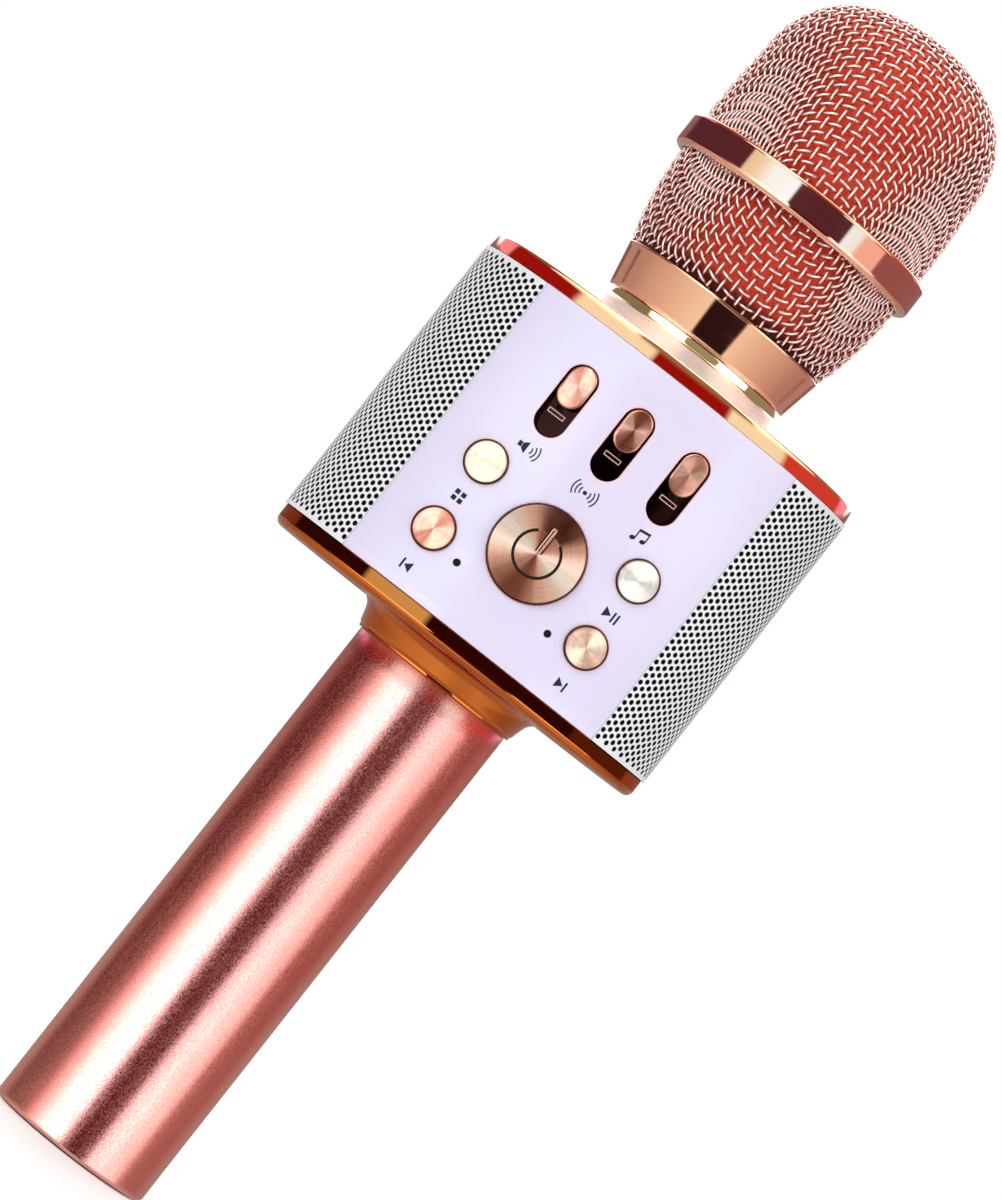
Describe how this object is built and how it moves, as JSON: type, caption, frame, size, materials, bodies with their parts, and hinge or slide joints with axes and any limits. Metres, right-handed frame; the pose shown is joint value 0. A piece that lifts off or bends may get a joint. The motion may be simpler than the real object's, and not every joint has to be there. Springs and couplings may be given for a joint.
{
  "type": "karaoke microphone",
  "caption": "Hand-held wireless karaoke microphone: tubular handle, oval speaker body with faders and keys on a glossy panel, woven-wire head that unscrews.",
  "frame": {"origin": "centre of the handle's bottom face", "axes": "+Z along the handle towards the head, -Y towards the control panel, +X to the right when facing the panel"},
  "size_m": [0.0794, 0.0606, 0.2448],
  "materials": {
    "rose_satin": "fine bead-blasted rose gold anodising",
    "rose_polish": "polished rose gold plating",
    "amber_plate": "polished warm gold plating on moulded plastic",
    "rose_trim": "polished rose gold plating on moulded plastic",
    "mesh_wire": "rose gold plated woven wire",
    "panel_gloss": "glossy pale lavender lacquer",
    "grille_white": "fine silver-white paint, perforated",
    "key_spun": "circular spun rose gold",
    "foam_red": "open-cell red foam",
    "scrim_black": "black acoustic cloth",
    "plastic_black": "fine moulded texture",
    "plastic_grey": "fine moulded texture",
    "board_green": "solder-resist over glass fibre",
    "steel": "zinc plated steel",
    "magnet": "ground ferrite",
    "paper_cone": "pressed pulp",
    "rubber_black": "matt rubber",
    "wire_sleeve": "silicone sleeve",
    "cell_wrap": "heat-shrunk sleeve over a steel can",
    "lens_dark": "dark tinted clear plastic"
  },
  "bodies": {
    "mic_body": {"handle_tube": "rose_satin", "handle_end_cap": "plastic_black", "battery_cell": "cell_wrap", "battery_cradle": "plastic_black", "battery_pads": "rubber_black", "battery_leads": "wire_sleeve", "bottom_cap": "amber_plate", "bottom_cap_screws": "steel", "top_cap": "rose_trim", "top_cap_screws": "steel", "chassis": "plastic_grey", "front_panel": "panel_gloss", "rear_panel": "panel_gloss", "grille_left": "grille_white", "grille_right": "grille_white", "speaker_scrims": "scrim_black", "speaker_baskets": "steel", "speaker_magnets": "magnet", "speaker_surrounds": "rubber_black", "speaker_screws": "steel", "main_board": "board_green", "board_components": "plastic_black", "port_board": "board_green", "switch_housings": "plastic_black", "fader_housings": "steel", "slider_beds": "rose_trim", "status_light_pipes": "lens_dark", "status_leds": "plastic_grey", "board_screws": "steel", "charging_port": "steel", "aux_jack": "plastic_black", "card_socket": "steel", "neck_spigot": "plastic_black", "capsule_mount": "rubber_black", "mic_capsule": "steel", "capsule_leads": "wire_sleeve"},
    "power_key": {"power_button": "key_spun", "power_plunger": "plastic_grey"},
    "mode_key": {"mode_button": "key_spun", "mode_plunger": "plastic_grey"},
    "previous_key": {"previous_button": "key_spun", "previous_plunger": "plastic_grey"},
    "play_key": {"play_button": "key_spun", "play_plunger": "plastic_grey"},
    "next_key": {"next_button": "key_spun", "next_plunger": "plastic_grey"},
    "volume_slider": {"volume_knob": "key_spun", "volume_lever": "plastic_grey"},
    "echo_slider": {"echo_knob": "key_spun", "echo_lever": "plastic_grey"},
    "music_slider": {"music_knob": "key_spun", "music_lever": "plastic_grey"},
    "left_cone": {"left_speaker_cone": "paper_cone"},
    "right_cone": {"right_speaker_cone": "paper_cone"},
    "grille_head": {"neck_ring": "rose_polish", "lower_grille": "mesh_wire", "grille_band": "rose_polish", "upper_grille": "mesh_wire", "head_foam": "foam_red"}
  },
  "joints": [
    {"name": "power_press", "type": "slide", "parent": "mic_body", "child": "power_key", "axis": [0, 1, 0], "range_m": [0, 0.0008], "stiffness_N_per_m": 900, "springref_m": -0.001},
    {"name": "mode_press", "type": "slide", "parent": "mic_body", "child": "mode_key", "axis": [0, 1, 0], "range_m": [0, 0.0006], "stiffness_N_per_m": 900, "springref_m": -0.001},
    {"name": "previous_press", "type": "slide", "parent": "mic_body", "child": "previous_key", "axis": [0, 1, 0], "range_m": [0, 0.0006], "stiffness_N_per_m": 900, "springref_m": -0.001},
    {"name": "play_press", "type": "slide", "parent": "mic_body", "child": "play_key", "axis": [0, 1, 0], "range_m": [0, 0.0006], "stiffness_N_per_m": 900, "springref_m": -0.001},
    {"name": "next_press", "type": "slide", "parent": "mic_body", "child": "next_key", "axis": [0, 1, 0], "range_m": [0, 0.0006], "stiffness_N_per_m": 900, "springref_m": -0.001},
    {"name": "volume_slide", "type": "slide", "parent": "mic_body", "child": "volume_slider", "axis": [0, 0, -1], "range_m": [0, 0.0058]},
    {"name": "echo_slide", "type": "slide", "parent": "mic_body", "child": "echo_slider", "axis": [0, 0, -1], "range_m": [0, 0.0058]},
    {"name": "music_slide", "type": "slide", "parent": "mic_body", "child": "music_slider", "axis": [0, 0, -1], "range_m": [0, 0.0058]},
    {"name": "left_cone_travel", "type": "slide", "parent": "mic_body", "child": "left_cone", "axis": [-1, 0, 0], "range_m": [-0.001, 0.001], "stiffness_N_per_m": 1200},
    {"name": "right_cone_travel", "type": "slide", "parent": "mic_body", "child": "right_cone", "axis": [1, 0, 0], "range_m": [-0.001, 0.001], "stiffness_N_per_m": 1200},
    {"name": "head_twist", "type": "hinge", "parent": "mic_body", "child": "grille_head", "pos_m": [0, 0, 0.18], "axis": [0, 0, 1], "range_deg": [0, 720]}
  ]
}
